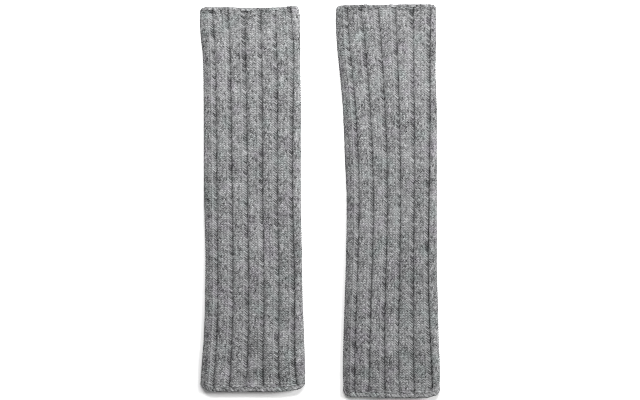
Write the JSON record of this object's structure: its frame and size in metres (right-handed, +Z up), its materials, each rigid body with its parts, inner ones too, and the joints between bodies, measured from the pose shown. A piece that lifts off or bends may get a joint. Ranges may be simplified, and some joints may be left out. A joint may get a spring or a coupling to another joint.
{
  "type": "pair of leg warmers",
  "caption": "Pair of long ribbed knitted leg warmers laid flat side by side, each an open tube with a cast-on edge and a bound-off edge.",
  "frame": {"origin": "on the surface that the pair lies on, midway between the two leg warmers and at the middle of the pair's length", "axes": "+Y along the tubes, from the bound-off edges to the cast-on edges; +X from the left leg warmer to the right one; +Z up, out of the surface"},
  "size_m": [0.3072, 0.5043, 0.0081],
  "materials": {
    "ribbed_knit": "matt heather grey wool, stocking-stitch ribs",
    "cast_on_edge": "matt heather grey wool, cast-on edge",
    "bound_off_edge": "matt heather grey wool, bound-off chain"
  },
  "bodies": {
    "root": {"left_tube": "ribbed_knit", "left_cast_on_edge": "cast_on_edge", "left_bound_off_edge": "bound_off_edge", "right_tube": "ribbed_knit", "right_cast_on_edge": "cast_on_edge", "right_bound_off_edge": "bound_off_edge"}
  },
  "joints": []
}
